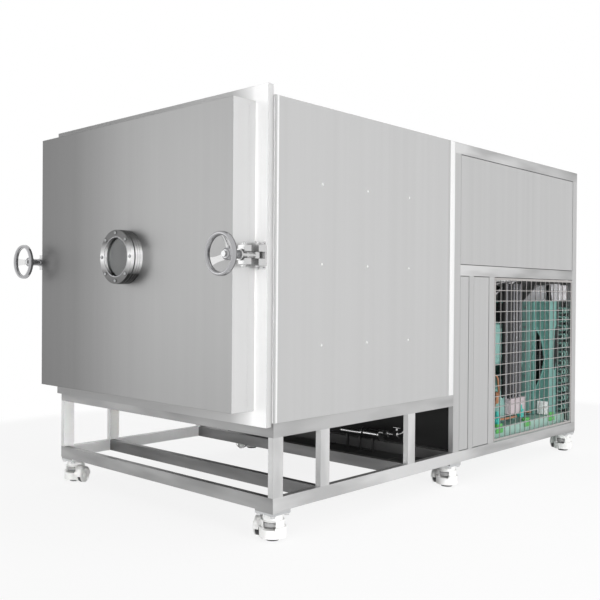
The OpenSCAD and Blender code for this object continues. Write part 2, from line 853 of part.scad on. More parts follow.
recentre() base_frame();
recentre() caster_mounts();
recentre() chamber_flange();
recentre() chamber_vessel();
recentre() chamber_skin();
recentre() shelf_rack();
recentre() cold_trap_coil();
recentre() pivot_brackets();
recentre() pivot_pins();
recentre() cabinet_frame();
recentre() side_panels();
recentre() top_panel();
recentre() end_panels();
recentre() mesh_grilles();
recentre() condensing_base();
recentre() compressor();
recentre() condenser_coil();
recentre() fan_shroud();
recentre() condenser_fan();
recentre() fan_motor();
recentre() vacuum_pump();
recentre() door_skin();
recentre() door_plate();
recentre() door_gasket();
recentre() door_lugs();
recentre() hinge_leaves();
recentre() sight_neck();
recentre() sight_glass();
recentre() sight_ring();
recentre() sight_bolts();
for (side = [-1, 1]) {
    name = side > 0 ? "right" : "left";
    recentre() swing_bolt(side);
    recentre() thrust_washer(side);
    recentre() handwheel(side);
}
for (k = [0:5]) {
    name = caster_names[k];
    recentre() caster_housing(k);
    recentre() caster_wheel(k);
    recentre() caster_dial(k);
    recentre() caster_foot(k);
}
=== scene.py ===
"""Looks of the freeze dryer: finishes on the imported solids, and the details too fine for them."""

import json
import math

import bmesh
import bpy
from mathutils import Matrix, Vector


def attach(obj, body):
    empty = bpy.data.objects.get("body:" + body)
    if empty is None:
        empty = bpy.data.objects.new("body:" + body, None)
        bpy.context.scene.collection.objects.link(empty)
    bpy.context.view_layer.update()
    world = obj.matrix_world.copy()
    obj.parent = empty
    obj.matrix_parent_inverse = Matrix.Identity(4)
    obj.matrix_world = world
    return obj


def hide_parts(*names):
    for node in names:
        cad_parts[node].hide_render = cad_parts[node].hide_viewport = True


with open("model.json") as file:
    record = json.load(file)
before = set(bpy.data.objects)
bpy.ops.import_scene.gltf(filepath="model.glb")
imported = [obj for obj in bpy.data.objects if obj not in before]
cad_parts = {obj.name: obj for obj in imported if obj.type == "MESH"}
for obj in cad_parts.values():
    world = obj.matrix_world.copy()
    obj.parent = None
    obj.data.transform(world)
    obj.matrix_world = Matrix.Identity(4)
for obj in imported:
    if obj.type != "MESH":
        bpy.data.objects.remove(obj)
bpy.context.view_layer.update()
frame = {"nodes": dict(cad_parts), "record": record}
scene = bpy.context.scene

# The CAD source measures depth from the flange's back, in millimetres; this is where that plane is.
MIDDLE = 1102.5


# ---------------------------------------------------------------- materials

def new_material(name):
    m = bpy.data.materials.new(name)
    m.use_nodes = True
    nt = m.node_tree
    bsdf = nt.nodes["Principled BSDF"]
    return m, nt, bsdf


def grey(value):
    return (value, value, value)


def shades(color, amount):
    """A darker and a lighter shade of a colour."""
    return (tuple(c * (1 - 2 * amount) for c in color),
            tuple(min(1.0, c * (1 + amount)) for c in color))


def coords(nt, scale, rotation=(0, 0, 0)):
    """Object coordinates, stretched."""
    tc = nt.nodes.new("ShaderNodeTexCoord")
    mp = nt.nodes.new("ShaderNodeMapping")
    mp.inputs["Scale"].default_value = scale
    mp.inputs["Rotation"].default_value = rotation
    nt.links.new(tc.outputs["Object"], mp.inputs["Vector"])
    return mp.outputs["Vector"]


def noise(nt, vector, scale=1.0, detail=2.0, rough=0.5):
    n = nt.nodes.new("ShaderNodeTexNoise")
    n.inputs["Scale"].default_value = scale
    n.inputs["Detail"].default_value = detail
    n.inputs["Roughness"].default_value = rough
    nt.links.new(vector, n.inputs["Vector"])
    return n.outputs["Fac"]


def map_range(nt, value, lo, hi, from_lo=0.0, from_hi=1.0):
    r = nt.nodes.new("ShaderNodeMapRange")
    r.inputs["From Min"].default_value = from_lo
    r.inputs["From Max"].default_value = from_hi
    r.inputs["To Min"].default_value = lo
    r.inputs["To Max"].default_value = hi
    nt.links.new(value, r.inputs["Value"])
    return r.outputs["Result"]


def mix_color(nt, fac, a, b):
    m = nt.nodes.new("ShaderNodeMix")
    m.data_type = "RGBA"
    nt.links.new(fac, m.inputs[0])
    m.inputs[6].default_value = (*a, 1)
    m.inputs[7].default_value = (*b, 1)
    return m.outputs[2]


def multiply(nt, a, b):
    """The product of two colours."""
    m = nt.nodes.new("ShaderNodeMix")
    m.data_type = "RGBA"
    m.blend_type = "MULTIPLY"
    m.inputs[0].default_value = 1.0
    nt.links.new(a, m.inputs[6])
    nt.links.new(b, m.inputs[7])
    return m.outputs[2]


def worn_edge(nt, radius):
    """A normal that rounds the edges a little."""
    bev = nt.nodes.new("ShaderNodeBevel")
    bev.samples = 4
    bev.inputs["Radius"].default_value = radius
    return bev.outputs["Normal"]


def axis_ramp(nt, axis, span, stops):
    """A grey that changes along one axis of the model, as (place in metres, value) stops."""
    ramp = nt.nodes.new("ShaderNodeValToRGB")
    while len(ramp.color_ramp.elements) < len(stops):
        ramp.color_ramp.elements.new(0.5)
    for e, (place, value) in zip(ramp.color_ramp.elements, stops):
        e.position = (place - span[0]) / (span[1] - span[0])
        e.color = (*grey(value), 1)
    sep = nt.nodes.new("ShaderNodeSeparateXYZ")
    nt.links.new(coords(nt, (1, 1, 1)), sep.inputs[0])
    nt.links.new(map_range(nt, sep.outputs[axis], 0.0, 1.0, *span), ramp.inputs["Fac"])
    return ramp.outputs["Color"]


def metal(name, color, rough=0.34, grain="z", edge=0.0012, streak=0.05, bump=0.02, metallic=1.0,
          patch=0.4, painted_light=None, axis="X", span=(-0.7, 0.7), gloss=0.5):
    """Brushed metal: fine lines along its grain, soft worn edges and broad faint streaks.

    Painted light and shade can multiply the colour along one axis of the model. It imitates a
    studio's uneven light, and it stays when the light is another.
    """
    m, nt, bsdf = new_material(name)
    bsdf.inputs["Metallic"].default_value = metallic
    bsdf.inputs["Specular IOR Level"].default_value = gloss

    def stretched(across, lengthwise):
        return coords(nt, tuple(lengthwise if k == grain else across for k in "xyz"))

    lines = noise(nt, stretched(900.0, 3.0), 1.0, 3.0, 0.6)
    if streak:
        blotchy = patch >= 1
        broad = noise(nt, stretched(12.0 if blotchy else 26.0, patch), 1.0, 2.0, 0.5)
        if blotchy:
            broad = map_range(nt, broad, 0.0, 1.0, 0.36, 0.64)
        shade = mix_color(nt, broad, *shades(color, streak))
        if painted_light:
            shade = multiply(nt, shade, axis_ramp(nt, axis, span, painted_light))
        nt.links.new(shade, bsdf.inputs["Base Color"])
    else:
        bsdf.inputs["Base Color"].default_value = (*color, 1)
    nt.links.new(map_range(nt, lines, rough - 0.08, rough + 0.08), bsdf.inputs["Roughness"])
    bmp = nt.nodes.new("ShaderNodeBump")
    bmp.inputs["Strength"].default_value = bump
    bmp.inputs["Distance"].default_value = 0.001
    nt.links.new(lines, bmp.inputs["Height"])
    nt.links.new(worn_edge(nt, edge), bmp.inputs["Normal"])
    nt.links.new(bmp.outputs["Normal"], bsdf.inputs["Normal"])
    return m


def plain(name, color, rough=0.5, metallic=0.0, edge=0.0, mottle=0.04, mottle_scale=30.0, coat=0.0):
    """Paint, plastic or rubber with a faint unevenness."""
    m, nt, bsdf = new_material(name)
    bsdf.inputs["Metallic"].default_value = metallic
    n = noise(nt, coords(nt, (1, 1, 1)), mottle_scale, 4.0, 0.6)
    nt.links.new(mix_color(nt, n, *shades(color, mottle)), bsdf.inputs["Base Color"])
    nt.links.new(map_range(nt, n, max(0.02, rough - 0.06), rough + 0.06), bsdf.inputs["Roughness"])
    bsdf.inputs["Coat Weight"].default_value = coat
    if edge:
        nt.links.new(worn_edge(nt, edge), bsdf.inputs["Normal"])
    return m


def glass(name):
    """Clear glass, a little uneven in its gloss."""
    m, nt, bsdf = new_material(name)
    bsdf.inputs["Base Color"].default_value = (0.50, 0.51, 0.51, 1)
    bsdf.inputs["IOR"].default_value = 1.3
    bsdf.inputs["Transmission Weight"].default_value = 1.0
    n = noise(nt, coords(nt, (6, 6, 6)), 3.0, 2.0, 0.5)
    nt.links.new(map_range(nt, n, 0.01, 0.05), bsdf.inputs["Roughness"])
    return m


# Stops of each painted light and shade: place along the axis in metres, and factor on the colour.
# Painted light on the door front: darker to the left, brightest at the right edge.
DOOR_PAINTED_LIGHT = ((-0.62, 0.46), (-0.36, 0.52), (-0.02, 0.80), (0.22, 0.92), (0.62, 1.0))
# Painted highlight on the flange front: dark to the left, bright at the right end.
FLANGE_PAINTED_HIGHLIGHT = ((-0.60, 0.25), (0.10, 0.34), (0.50, 0.45), (0.60, 0.85), (0.62, 1.0))
# Painted shade on the rails along the depth: darker towards the back.
RAIL_PAINTED_SHADE = ((-1.1, 1.0), (0.2, 0.88), (1.2, 0.68))
RING_SPAN = (0.9, 1.13)
# Painted reflection on the sight ring's front: a bright band across the middle, dark above and
# below.
RING_PAINTED_REFLECTION = ((0.910, 0.11), (0.955, 0.15), (0.985, 0.46), (1.014, 0.95), (1.040, 0.50),
              (1.070, 0.15), (1.119, 0.11))
# Painted reflection on the sight ring's side: a bright middle band, nearly black above and below.
RING_SIDE_PAINTED_REFLECTION = ((0.910, 0.02), (0.945, 0.03), (0.968, 0.40), (0.990, 1.0), (1.036, 1.0),
                   (1.056, 0.36), (1.085, 0.12), (1.119, 0.03))

M = {
    "body_sheet": metal("skin_steel", grey(0.52), 0.36, "z", streak=0.03, metallic=0.75),
    # Painted light: the door's front faces take a darker copy of its steel, with painted light that
    # grows towards the right, and its side faces a lighter copy.
    "door_front": metal("door_front_steel_painted_light", grey(0.40), 0.46, "z", edge=0.003, streak=0.02, metallic=0.9,
                        painted_light=DOOR_PAINTED_LIGHT),
    "door_side": metal("door_side_steel_painted_light", grey(0.62), 0.34, "z", edge=0.003, streak=0.02,
                       metallic=0.7),
    # Painted light and shade: the tube steel comes in lighter and darker copies, chosen by the way
    # a tube runs and where it stands. The tubes that run across take a dark copy, those along the
    # depth a lighter one that darkens towards the back, the posts a middle one, the upper tubes
    # along the depth and the inner cross rails darker ones, the upper inner cross rails a
    # near-black one, and the inner faces of the left tubes a bright one.
    "frame_x_shade": metal("tube_steel_x_painted_shade", grey(0.33), 0.38, "x", edge=0.0025, streak=0.14, metallic=0.85,
                     patch=2.2),
    "frame_y": metal("tube_steel_y_painted_light_and_shade", grey(0.62), 0.36, "y", edge=0.0025, streak=0.12, metallic=0.75,
                     patch=2.2, axis="Y", span=(-1.3, 1.5), painted_light=RAIL_PAINTED_SHADE),
    "frame_upper_shade": metal("upper_tube_steel_painted_shade", grey(0.42), 0.36, "y", edge=0.0025, streak=0.12,
                         metallic=0.75, patch=2.2),
    "frame_z": metal("tube_steel_z", grey(0.60), 0.36, "z", edge=0.0025, streak=0.08, metallic=0.7,
                     patch=4.0),
    "frame_lit": metal("tube_steel_painted_light", grey(0.97), 0.4, "z", edge=0.0025, streak=0.04,
                       metallic=0.0, patch=4.0),
    "frame_inner_shade": metal("inner_tube_steel_painted_shade", grey(0.22), 0.42, "x", edge=0.0025, streak=0.14,
                         metallic=0.6, patch=2.2),
    "frame_deep_shade": metal("upper_inner_tube_steel_painted_shade", grey(0.05), 0.45, "x", edge=0.0025, streak=0.1,
                        metallic=0.5),
    # Painted shade: near-black stand-ins for sheet steel in the shade under the chamber.
    "bulkhead": plain("bulkhead_painted_shade", grey(0.035), 0.55, 0.4, mottle=0.2, mottle_scale=9.0),
    "tray": plain("tray_steel_painted_shade", grey(0.085), 0.6, 0.5, mottle=0.2, mottle_scale=14.0),
    "cabinet_post": metal("cabinet_tube_steel", grey(0.50), 0.36, "z", edge=0.0025, streak=0.06,
                          metallic=0.75),
    "panel": metal("panel_steel", grey(0.50), 0.36, "z", streak=0.05, metallic=0.75),
    "polished": metal("polished_steel", grey(0.62), 0.22, "x", streak=0.02, bump=0.01),
    # Partly polish, partly a painted highlight: a lighter steel than the skin.
    "bright": metal("bright_steel_polish_and_painted_highlight", grey(0.80), 0.3, "z", streak=0.03, bump=0.01, metallic=0.6),
    # Painted reflection: bands of light and dark along the sight ring's height; the side has almost
    # no gloss, so the painted bands carry its look.
    "turned_reflection": metal("turned_steel_painted_reflection", grey(0.86), 0.30, "x", streak=0.10, bump=0.01, metallic=0.8,
                    axis="Z", span=RING_SPAN, painted_light=RING_PAINTED_REFLECTION),
    "turned_side_reflection": metal("turned_side_steel_painted_reflection", grey(1.0), 0.26, "y", streak=0.14, bump=0.01,
                         metallic=0.1, axis="Z", span=RING_SPAN, painted_light=RING_SIDE_PAINTED_REFLECTION, gloss=0.1),
    # Painted light: the flange's front faces take a lit copy of its steel, with a painted highlight
    # at the right end; its other faces take a darker copy.
    "flange_front": metal("flange_steel_painted_highlight", grey(0.99), 0.34, "x", edge=0.0008, streak=0.01,
                          metallic=0.3, painted_light=FLANGE_PAINTED_HIGHLIGHT),
    "flange_side": metal("flange_side_steel", grey(0.55), 0.34, "z", edge=0.0005, streak=0.02,
                         metallic=0.4),
    "vessel": metal("vessel_steel", (0.50, 0.51, 0.52), 0.4, "y", streak=0.04),
    "zinc": metal("zinc_plate", (0.60, 0.61, 0.62), 0.3, "x", streak=0.04),
    "bolt": metal("bolt_steel", grey(0.80), 0.2, "x", streak=0.02, bump=0.0),
    "dimple": metal("dimple_steel", grey(0.95), 0.12, "x", streak=0.0, bump=0.0),
    "wire": metal("bright_wire", (0.46, 0.44, 0.43), 0.25, "x", edge=0.0006, streak=0.03, bump=0.0),
    "chrome": metal("wheel_chrome", (0.42, 0.42, 0.43), 0.14, "x", streak=0.02, bump=0.0),
    "shelf": metal("shelf_alloy", (0.66, 0.67, 0.69), 0.35, "y", streak=0.03),
    "fins": plain("coil_fins", (0.075, 0.125, 0.115), 0.55, 0.3, mottle=0.1),
    "green": plain("green_enamel", (0.14, 0.32, 0.285), 0.42, 0.0, edge=0.0015, coat=0.1),
    # Lighter and darker copies of the green enamel: painted light and shade.
    "green_lit": plain("green_enamel_painted_light", (0.23, 0.43, 0.39), 0.40, 0.0, edge=0.0015, coat=0.1),
    "green_shaded": plain("green_enamel_painted_shade", (0.05, 0.16, 0.145), 0.45, 0.0, edge=0.0015,
                        coat=0.05),
    "black": plain("black_satin", (0.018, 0.018, 0.019), 0.4),
    "hose": plain("hose_foam", (0.012, 0.012, 0.013), 0.7, mottle=0.2),
    "pump": plain("pump_enamel", (0.13, 0.18, 0.22), 0.4, coat=0.1),
    "silicone": plain("silicone", (0.84, 0.84, 0.83), 0.6),
    "glass": glass("clear_glass"),
    "white": plain("caster_powder", (0.84, 0.84, 0.83), 0.38, edge=0.002, mottle=0.01),
    "nylon": plain("caster_nylon", (0.80, 0.80, 0.79), 0.45, mottle=0.02),
    "dial": plain("caster_dial", grey(0.42), 0.5, edge=0.001),
    "rubber": plain("joint_rubber", grey(0.030), 0.6),
    "pad": plain("pad_rubber", grey(0.08), 0.75),
    # Painted shade: a near-black for a sheet put under the chamber, where there is only shade.
    "underside_shade": plain("underside_painted_shade", grey(0.020), 0.7),
    "dark_edge": plain("dark_steel", grey(0.10), 0.4, 0.8),
    "label": plain("blank_label", grey(0.97), 0.5, mottle=0.005),
    "bends": plain("painted_bends", (0.20, 0.36, 0.32), 0.4, 0.2),
    "copper": metal("copper_pipe", (0.55, 0.27, 0.16), 0.3, "x", streak=0.06),
    "teal": plain("valve_teal", (0.05, 0.42, 0.36), 0.4),
    "bright_green": plain("isolator_green", (0.10, 0.42, 0.10), 0.55),
    "box_grey": plain("box_plastic", (0.86, 0.84, 0.86), 0.5, edge=0.002),
    "box_pink": plain("box_plastic_warm", (0.50, 0.44, 0.46), 0.5, edge=0.002),
    "trunk_grey": plain("trunking_grey", (0.22, 0.22, 0.235), 0.5, edge=0.001),
    "green_pale": plain("green_enamel_pale", (0.32, 0.50, 0.44), 0.42, 0.0, edge=0.0015, coat=0.1),
    "duct": plain("duct_cover", (0.94, 0.92, 0.96), 0.45, 0.0, edge=0.001, mottle=0.03,
                  mottle_scale=6.0),
}

SLOTS = {
    "body_sheet": "body_sheet", "door_sheet": "door_front", "frame_tube": "frame_y",
    "polished_steel": "polished", "vessel_steel": "vessel", "zinc_steel": "zinc",
    "bright_wire": "wire", "wheel_chrome": "chrome", "shelf_alloy": "shelf", "fin_alloy": "fins",
    "green_paint": "green", "black_paint": "black", "pump_paint": "pump", "silicone": "silicone",
    "sight_glass": "glass", "caster_white": "white", "caster_nylon": "nylon",
    "caster_dial": "dial", "caster_rubber": "rubber",
}
slot_of = {s["node"]: s["material_slot"] for s in frame["record"]["subparts"]}
for node, obj in frame["nodes"].items():
    obj.data.materials.clear()
    obj.data.materials.append(M[SLOTS[slot_of[node]]])


def solids(mesh):
    """The separate solids of a mesh, each as its faces and the size of its box."""
    root = list(range(len(mesh.vertices)))

    def top(v):
        while root[v] != v:
            root[v] = root[root[v]]
            v = root[v]
        return v

    for e in mesh.edges:
        a, b = top(e.vertices[0]), top(e.vertices[1])
        if a != b:
            root[a] = b
    groups = {}
    for f in mesh.polygons:
        groups.setdefault(top(f.vertices[0]), []).append(f)
    for faces in groups.values():
        points = [mesh.vertices[v].co for f in faces for v in f.vertices]
        lo = [min(p[k] for p in points) for k in range(3)]
        hi = [max(p[k] for p in points) for k in range(3)]
        yield faces, lo, hi


def finish(node, names, choose):
    """Gives each face of a node one of several finishes, by name."""
    mesh = frame["nodes"][node].data
    mesh.materials.clear()
    for name in names:
        mesh.materials.append(M[name])
    for faces, lo, hi in solids(mesh):
        for f in faces:
            f.material_index = names.index(choose(f, lo, hi))


def longest(lo, hi):
    """The axis that a tube runs along."""
    size = [b - a for a, b in zip(lo, hi)]
    return size.index(max(size))


def faces_along(axis, name, other):
    """One finish for the faces that look along an axis, another for the rest."""
    return lambda f, lo, hi: name if abs(f.normal[axis]) > 0.7 else other


def base_tube(f, lo, hi):
    """Grain along each tube, and painted light and shade: inner cross rails take dark copies of the
    steel, and the left posts bright ones on their inner faces.
    """
    axis = longest(lo, hi)
    upper = lo[2] > 0.3
    cross = axis == 0 and lo[1] > -0.9 and hi[1] < 1.0
    if cross:
        return "frame_deep_shade" if upper else "frame_inner_shade"
    if axis > 0 and hi[0] < -0.6 and f.normal.x > 0.7:
        return "frame_lit"
    if axis == 1 and upper:
        return "frame_upper_shade"
    return BASE[axis]


def cabinet_tube(f, lo, hi):
    return CABINET[longest(lo, hi)]


# Painted shade: the end panel that faces the space under the chamber takes a near-black copy.
def end_panel(f, lo, hi):
    return "bulkhead" if hi[1] < 0.5 else "panel"


BASE = ("frame_x_shade", "frame_y", "frame_z", "frame_inner_shade", "frame_deep_shade", "frame_lit", "frame_upper_shade")
CABINET = ("frame_x_shade", "frame_y", "cabinet_post")
finish("base_frame", BASE, base_tube)
finish("cabinet_frame", CABINET, cabinet_tube)
# Painted light: the flange's front faces take the lit copy of its steel.
finish("chamber_flange", ("flange_front", "flange_side"),
       faces_along(1, "flange_front", "flange_side"))
# Painted light: the faces of the door skin and of the plate each take a lighter or a darker copy of
# the steel, by the way they face.
finish("door_skin", ("door_front", "door_side"), faces_along(1, "door_front", "door_side"))
finish("door_plate", ("flange_front", "door_side"), faces_along(0, "door_side", "flange_front"))
# Painted reflection: the sight neck and ring take the banded steels, front and side.
for node in ("sight_neck", "sight_ring"):
    finish(node, ("turned_reflection", "turned_side_reflection"), faces_along(1, "turned_reflection", "turned_side_reflection"))
finish("end_panels", ("bulkhead", "panel"), end_panel)
frame["nodes"]["condensing_base"].data.materials[0] = M["green_pale"]
frame["nodes"]["side_panels"].data.materials[0] = M["panel"]

# ---------------------------------------------------------------- building blocks

MODEL = Matrix.Translation((0, -MIDDLE * 0.001, 0)) @ Matrix.Scale(0.001, 4)


def along(axis):
    """A turn that takes +Z to the given direction."""
    return Vector((0, 0, 1)).rotation_difference(Vector(axis).normalized()).to_matrix().to_4x4()


def at(x, y, z):
    return Matrix.Translation((x, y, z))


def put(name, bm, body, mat, angle=35, split=True):
    """Turns a mesh built in the CAD source's millimetres into a piece that rides on a body."""
    bm.transform(MODEL)
    bmesh.ops.recalc_face_normals(bm, faces=bm.faces)
    mesh = bpy.data.meshes.new(name)
    bm.to_mesh(mesh)
    bm.free()
    mesh.polygons.foreach_set("use_smooth", [True] * len(mesh.polygons))
    if split:
        mesh.set_sharp_from_angle(angle=math.radians(angle))
    obj = bpy.data.objects.new(name, mesh)
    scene.collection.objects.link(obj)
    mesh.materials.append(mat)
    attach(obj, body)
    return obj


def cyl(bm, p0, p1, r, r2=None, seg=24, sides=None):
    """A closed cylinder or cone between two points."""
    p0, p1 = Vector(p0), Vector(p1)
    m = Matrix.Translation((p0 + p1) / 2) @ along(p1 - p0)
    bmesh.ops.create_cone(bm, cap_ends=True, segments=sides or seg, radius1=r,
                          radius2=r if r2 is None else r2, depth=(p1 - p0).length, matrix=m)


def block(bm, lo, hi, bevel=0.0, matrix=None):
    """A box between two corners, with rounded edges."""
    lo, hi = Vector(lo), Vector(hi)
    size = hi - lo
    m = Matrix.Translation((lo + hi) / 2) @ Matrix.Diagonal((*size, 1))
    if matrix:
        m = matrix @ m
    made = bmesh.ops.create_cube(bm, size=1.0, matrix=m)
    if bevel:
        edges = list({e for v in made["verts"] for e in v.link_edges})
        bmesh.ops.bevel(bm, geom=edges, offset=bevel, segments=2, affect="EDGES", profile=0.5)


def lathe(bm, profile, matrix, seg=48, closed=False):
    """Spins a profile of (radius, height) points round +Z of the matrix."""
    rings = []
    for r, z in profile:
        if r < 1e-6:
            rings.append([bm.verts.new(matrix @ Vector((0, 0, z)))])
            continue
        rings.append([bm.verts.new(matrix @ Vector((r * math.cos(a), r * math.sin(a), z)))
                      for a in turns(seg)])
    pairs = list(zip(rings, rings[1:] + rings[:1])) if closed else list(zip(rings, rings[1:]))
    for a, b in pairs:
        for k in range(seg):
            k2 = (k + 1) % seg
            if len(a) == 1 and len(b) == 1:
                continue
            if len(a) == 1:
                bm.faces.new((a[0], b[k], b[k2]))
            elif len(b) == 1:
                bm.faces.new((a[k], a[k2], b[0]))
            else:
                bm.faces.new((a[k], a[k2], b[k2], b[k]))


def turns(n):
    """Equal steps round a full turn."""
    return [2 * math.pi * k / n for k in range(n)]


def circle_points(centre, r, n):
    return [(centre[0] + r * math.cos(a), centre[1] + r * math.sin(a)) for a in turns(n)]


def loft(bm, rows):
    """Joins rings of equal length into a skin, with a face on both ends."""
    for a, b in zip(rows, rows[1:]):
        for k in range(len(a)):
            k2 = (k + 1) % len(a)
            bm.faces.new((a[k], a[k2], b[k2], b[k]))
    bm.faces.new(rows[0][::-1])
    bm.faces.new(rows[-1])


def torus(bm, big, small, matrix, seg=64, ring=14):
    lathe(bm, circle_points((big, 0), small, ring), matrix, seg, closed=True)


def rounded_path(points, radius, steps=6):
    """The points with each inner corner replaced by a short arc."""
    pts = [Vector(p) for p in points]
    if radius <= 0 or len(pts) < 3:
        return pts
    out = [pts[0]]
    for a, b, c in zip(pts, pts[1:], pts[2:]):
        u, v = (a - b), (c - b)
        r = min(radius, u.length * 0.49, v.length * 0.49)
        start, end = b + u.normalized() * r, b + v.normalized() * r
        for k in range(steps + 1):
            t = k / steps
            out.append(start * (1 - t) ** 2 + b * 2 * t * (1 - t) + end * t ** 2)
    out.append(pts[-1])
    return out


def pipe(bm, points, r, corner=0.0, seg=12):
    """A round pipe along a path, with rounded corners."""
    path = rounded_path(points, corner)
    rings, last = [], None
    for k, p in enumerate(path):
        d = (path[min(k + 1, len(path) - 1)] - path[max(k - 1, 0)]).normalized()
        if last is None:
            side = d.orthogonal().normalized()
        else:
            side = (last - d * last.dot(d)).normalized()
        last = side
        other = d.cross(side)
        rings.append([bm.verts.new(p + (side * math.cos(a) + other * math.sin(a)) * r)
                      for a in turns(seg)])
    loft(bm, rings)


def hexagon(bm, p0, p1, across, dome=0.0):
    """A hexagon head or nut between two points, with a small chamfer on top."""
    p0, p1 = Vector(p0), Vector(p1)
    d = (p1 - p0).normalized()
    r = across / 2 / math.cos(math.radians(30))
    cyl(bm, p0, p1 - d * (across * 0.06), r, sides=6)
    cyl(bm, p1 - d * (across * 0.06), p1, r * 0.99, across * 0.46, seg=18)
    if dome:
        cyl(bm, p1, p1 + d * dome, across * 0.3, across * 0.2, seg=18)


# ---------------------------------------------------------------- door: sight glass

PIVOT_X, PIVOT_Y, CLAMP_Z = 655.0, -50.0, 1008.0
SIGHT_X, SIGHT_Z = 15.0, 1014.0
FRONT = along((0, -1, 0))
SIGHT = at(SIGHT_X, 0, SIGHT_Z) @ FRONT

SIGHT_BOLTS = circle_points((SIGHT_X, SIGHT_Z), 93, 8)

bm = bmesh.new()
for x, z in SIGHT_BOLTS:
    lathe(bm, [(5.0, 190.1), (5.0, 193.6), (4.3, 194.6), (3.0, 194.6), (2.8, 191.5), (0, 191.2)],
          at(x, 0, z) @ FRONT, 20)
    lathe(bm, [(0, 190.1), (5.0, 190.1)], at(x, 0, z) @ FRONT, 20)
o = put("sight_screws", bm, "door", M["zinc"])
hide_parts("sight_bolts")

bm = bmesh.new()
for x, z in SIGHT_BOLTS:
    lathe(bm, [(5.3, 190.1), (7.2, 190.1), (7.2, 190.5), (5.3, 190.5)], at(x, 0, z) @ FRONT, 20,
          closed=True)
lathe(bm, [(84, 173.1), (104.9, 173.1), (104.9, 174.9), (84, 174.9)], SIGHT, 96, closed=True)
lathe(bm, [(105.05, 170.8), (105.7, 171.3), (105.7, 175.9), (105.05, 176.4)], SIGHT, 96,
      closed=True)
put("sight_joint", bm, "door", M["rubber"])

bm = bmesh.new()
lathe(bm, [(76, 189.8), (76, 190.5), (77.5, 191), (79, 190.5), (79, 189.8)], SIGHT, 96, closed=True)
put("sight_lip", bm, "door", M["chrome"])

# The sleeve takes the bright copy of the tube steel: painted light on its inner wall.
bm = bmesh.new()
lathe(bm, [(74.9, 36), (74.9, 160), (72.5, 160), (72.5, 36)], SIGHT, 96, closed=True)
put("sight_sleeve", bm, "door", M["frame_lit"])

bm = bmesh.new()
for r, y in ((105.2, 150), (105.2, 160)):
    lathe(bm, [(r - 0.3, y), (r + 0.5, y + 0.6), (r - 0.3, y + 1.2)], SIGHT, 96)
put("sight_turning_marks", bm, "door", M["dark_edge"])

# ---------------------------------------------------------------- clamps

SPOKES = {"right": (204, 84, 324), "left": (180, 60, 300)}
for side, name in ((1, "right"), (-1, "left")):
    base = at(side * PIVOT_X, PIVOT_Y, CLAMP_Z) @ FRONT
    bm = bmesh.new()
    rim = [(68 + 6.9 * math.cos(a), 164.5 + 10.3 * math.sin(a)) for a in turns(18)]
    lathe(bm, rim, base, 96, closed=True)
    o = put(name + "_wheel_rim", bm, name + "_wheel", M["chrome"], angle=50)
    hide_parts(name + "_handwheel")

    # Dark rings on the chrome rim: a painted reflection of a dark surround.
    bm = bmesh.new()
    for r, z in ((73.2, 158.6), (62.4, 159.5)):
        torus(bm, r, 1.6, base @ at(0, 0, z), 96, 8)
    put(name + "_rim_painted_reflection", bm, name + "_wheel", M["dark_edge"])

    bm = bmesh.new()
    lathe(bm,
          [(10.2, 84.4), (14, 84.4), (15, 85.5), (15, 118), (15.6, 120), (20, 122.5), (21.5, 126),
           (21.5, 136), (19.5, 142), (16, 145.5), (14, 146), (10.2, 146)], base, 48, closed=True)
    put(name + "_wheel_hub", bm, name + "_wheel", M["chrome"], angle=50)

    bm = bmesh.new()
    for degrees in SPOKES[name]:
        spoke = base @ Matrix.Rotation(math.radians(degrees), 4, "Z")
        rows = []
        steps = 14
        for j in range(steps + 1):
            t = j / steps
            r = 15 + 50 * t
            z = 130 + 30 * t ** 1.5
            slope = math.atan2(30 * 1.5 * t ** 0.5, 50)
            half = 11.0 + 8.0 * t ** 5 + 2.0 * (1 - t) ** 3
            n = Vector((-math.sin(slope), 0, math.cos(slope)))
            row = []
            for a in turns(16):
                ca, sa = math.cos(a), math.sin(a)
                u = math.copysign(abs(ca) ** 0.6, ca)
                v = math.copysign(abs(sa) ** 0.8, sa)
                bow = 3.0 * (1 - u * u)
                row.append(bm.verts.new(spoke @ (Vector((r, half * u, z)) + n * (2.6 * v - bow))))
            rows.append(row)
        loft(bm, rows)
    put(name + "_wheel_spokes", bm, name + "_wheel", M["bolt"], angle=50)

    bm = bmesh.new()
    cyl(bm, base @ Vector((0, 0, 145.5)), base @ Vector((0, 0, 151.5)), 9.2, seg=24)
    cyl(bm, base @ Vector((0, 0, 151.5)), base @ Vector((0, 0, 153.1)), 9.2, 7.6, seg=24)
    put(name + "_rod_end", bm, name + "_bolt", M["zinc"])

bm = bmesh.new()
for x, z in [(PIVOT_X, CLAMP_Z), (-PIVOT_X, CLAMP_Z), (-PIVOT_X, 720), (-PIVOT_X, 1300)]:
    hexagon(bm, (x, PIVOT_Y, z + 41.2), (x, PIVOT_Y, z + 47), 17, 2)
    lathe(bm, [(7.1, 0), (10.5, 0), (10.5, 2), (7.1, 2)], at(x, PIVOT_Y, z - 38.3), 24, closed=True)
    for s in (-1, 1):
        for t in (-1, 1):
            px = x + (6.5 if x > 0 else -6.5) + s * 13
            hexagon(bm, (px, -27.3, z + t * 44), (px, -31.5, z + t * 44), 8)
put("pivot_hardware", bm, "machine", M["bolt"])

bm = bmesh.new()
for x in (PIVOT_X, -PIVOT_X):
    for t in (-1, 1):
        z = CLAMP_Z + t * 33.1
        lathe(bm, [(5.3, 0), (11, 0), (11.5, t * 0.8), (11.5, t * 1.6), (5.3, t * 1.6)],
              at(x, -109, z), 24, closed=True)
        hexagon(bm, (x, -109, z + t * 1.7), (x, -109, z + t * 9.5), 17, 1.5)
put("lug_nuts", bm, "door", M["bolt"])

# ---------------------------------------------------------------- chamber skin

HALF_W = 695

